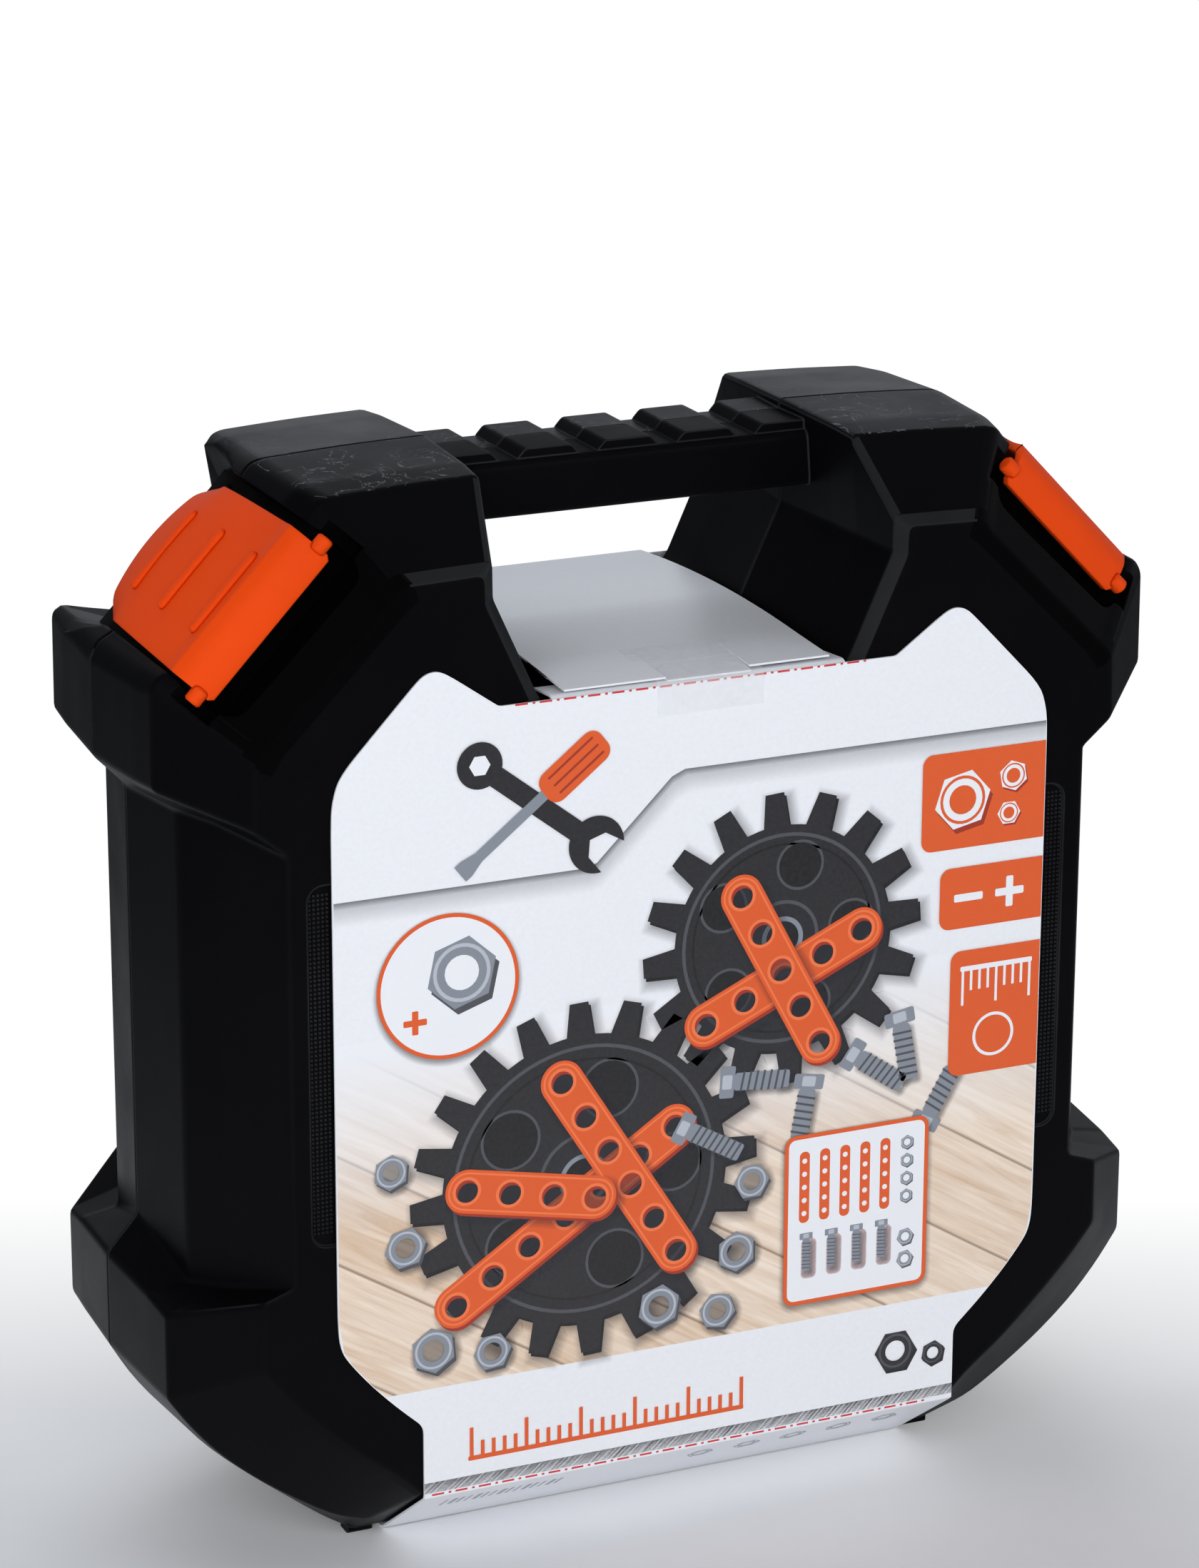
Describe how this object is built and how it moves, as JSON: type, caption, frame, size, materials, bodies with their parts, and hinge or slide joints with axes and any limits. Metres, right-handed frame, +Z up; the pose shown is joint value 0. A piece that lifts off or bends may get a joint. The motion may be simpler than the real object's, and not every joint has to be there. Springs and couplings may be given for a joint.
{
  "type": "toy tool box",
  "caption": "Hinged toy carry case split front to back, with a top handle, side latches, a card sleeve, and toy tools and loose building pieces held inside.",
  "frame": {"origin": "middle of the closed case's footprint on the floor", "axes": "+Z up, X along the handle bar, +Y toward the back half; the halves meet at Y = 0"},
  "size_m": [0.267, 0.1108, 0.2725],
  "materials": {
    "black_plastic": "satin, lightly grained",
    "orange_plastic": "semi-gloss",
    "grey_plastic": "semi-gloss",
    "white_board": "varnished print",
    "clear_tape": "clear, glossy"
  },
  "bodies": {
    "case_back": {"back_shell": "black_plastic", "hinge_pin_left": "grey_plastic", "hinge_pin_right": "grey_plastic", "sleeve_rear": "white_board", "sleeve_bottom": "white_board", "sleeve_tape": "clear_tape", "strip_1": "orange_plastic", "strip_2": "orange_plastic", "strip_3": "orange_plastic", "strip_4": "orange_plastic", "strip_5": "orange_plastic", "strip_6": "orange_plastic", "strip_7": "orange_plastic", "strip_8": "orange_plastic", "nut_1": "grey_plastic", "nut_2": "grey_plastic", "nut_3": "grey_plastic", "nut_4": "grey_plastic", "nut_5": "grey_plastic", "nut_6": "grey_plastic", "nut_7": "grey_plastic", "nut_8": "grey_plastic", "nut_9": "grey_plastic", "nut_10": "grey_plastic", "bolt_1": "grey_plastic", "bolt_2": "grey_plastic", "bolt_3": "grey_plastic", "bolt_4": "grey_plastic", "bolt_5": "grey_plastic", "bolt_6": "grey_plastic", "bolt_7": "grey_plastic", "bolt_8": "grey_plastic", "bolt_9": "grey_plastic", "bolt_10": "grey_plastic", "bracket_1": "orange_plastic", "bracket_2": "orange_plastic", "bracket_3": "orange_plastic", "bracket_4": "orange_plastic"},
    "case_front": {"front_shell": "black_plastic", "sleeve_front": "white_board", "hammer_handle": "orange_plastic", "hammer_head": "grey_plastic", "hammer_inlay": "grey_plastic", "hammer_clip": "orange_plastic", "screwdriver_handle": "orange_plastic", "screwdriver_blade": "grey_plastic", "screwdriver_inlay": "grey_plastic", "screwdriver_clip": "orange_plastic", "wrench": "grey_plastic", "wrench_clip": "orange_plastic", "driver_shell_outer": "black_plastic", "driver_shell_inner": "black_plastic", "driver_back_strap": "orange_plastic", "driver_foot": "black_plastic", "driver_cradle": "orange_plastic"},
    "latch_right": {"latch_right": "orange_plastic"},
    "latch_left": {"latch_left": "orange_plastic"},
    "trigger": {"driver_trigger": "grey_plastic"},
    "chuck": {"driver_chuck": "grey_plastic", "driver_bit": "grey_plastic"}
  },
  "joints": [
    {"name": "lid_hinge", "type": "hinge", "parent": "case_back", "child": "case_front", "pos_m": [0, 0, 0.0027], "axis": [1, 0, 0], "range_deg": [0, 165], "deforming": ["sleeve_bottom"]},
    {"name": "latch_right_hinge", "type": "hinge", "parent": "case_front", "child": "latch_right", "pos_m": [0.105, -0.0404, 0.24418], "axis": [0.6905, 0, -0.7233], "range_deg": [0, 110]},
    {"name": "latch_left_hinge", "type": "hinge", "parent": "case_front", "child": "latch_left", "pos_m": [-0.105, -0.0404, 0.24418], "axis": [0.6905, 0, 0.7233], "range_deg": [0, 110]},
    {"name": "trigger_slide", "type": "slide", "parent": "case_front", "child": "trigger", "axis": [1, 0, 0], "range_m": [0, 0.003], "stiffness_N_per_m": 120},
    {"name": "chuck_spin", "type": "hinge", "parent": "case_front", "child": "chuck", "pos_m": [0.0262, -0.02703, 0.14851], "axis": [1, 0, 0], "continuous": true}
  ]
}
